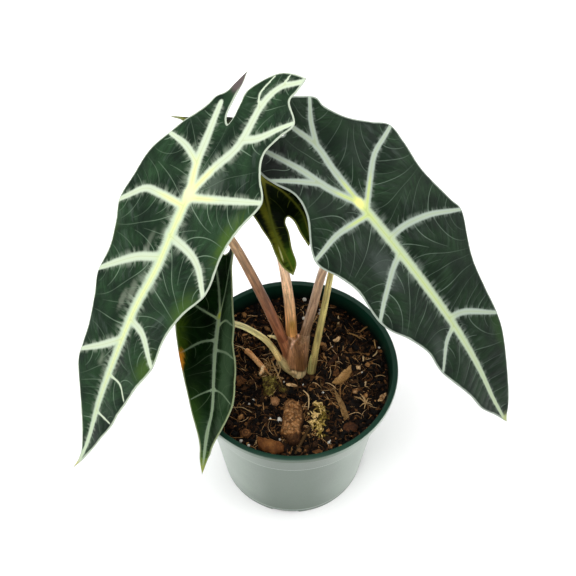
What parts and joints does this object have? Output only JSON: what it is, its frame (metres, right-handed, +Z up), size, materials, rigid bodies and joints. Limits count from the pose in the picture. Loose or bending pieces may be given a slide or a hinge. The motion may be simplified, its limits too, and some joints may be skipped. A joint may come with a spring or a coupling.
{
  "type": "potted mask plant",
  "caption": "Young mask plant with arrow-shaped, pale-veined leaves on slender stalks, in a round nursery pot filled with bark and peat mix.",
  "frame": {"origin": "middle of the pot's base, on the surface that it stands on", "axes": "+Z up through the pot's axis, -Y towards the side on which the two large leaves hang, +X to the right seen from there"},
  "size_m": [0.2116, 0.1774, 0.2612],
  "materials": {
    "pot": "satin moulded plastic, dark green, paler where light grazes the side",
    "potting_mix": "damp fibrous peat and bark",
    "bark": "rough bark",
    "pale_wood": "dry split wood",
    "moss": "dry moss",
    "pebble": "dull stone",
    "stem": "satin plant skin",
    "petiole": "satin plant skin",
    "young_petiole": "satin plant skin",
    "leaf": "satin dark green leaf with pale veins",
    "dark_leaf": "glossy near-black green leaf with olive veins"
  },
  "bodies": {
    "root": {"pot": "pot", "soil": "potting_mix", "bark_chunk": "bark", "bark_chip_front": "bark", "bark_chip_left": "bark", "bark_chip_right": "bark", "wood_splinter": "pale_wood", "tan_chip": "pale_wood", "leaf_sliver": "pale_wood", "moss_tuft": "moss", "pebble": "pebble", "stem_base": "stem", "petiole_left": "petiole", "petiole_middle": "petiole", "petiole_right": "petiole", "petiole_low": "young_petiole", "new_leaf_spike": "young_petiole", "blade_left": "leaf", "blade_right": "leaf", "blade_low": "dark_leaf", "blade_back": "dark_leaf"}
  },
  "joints": []
}
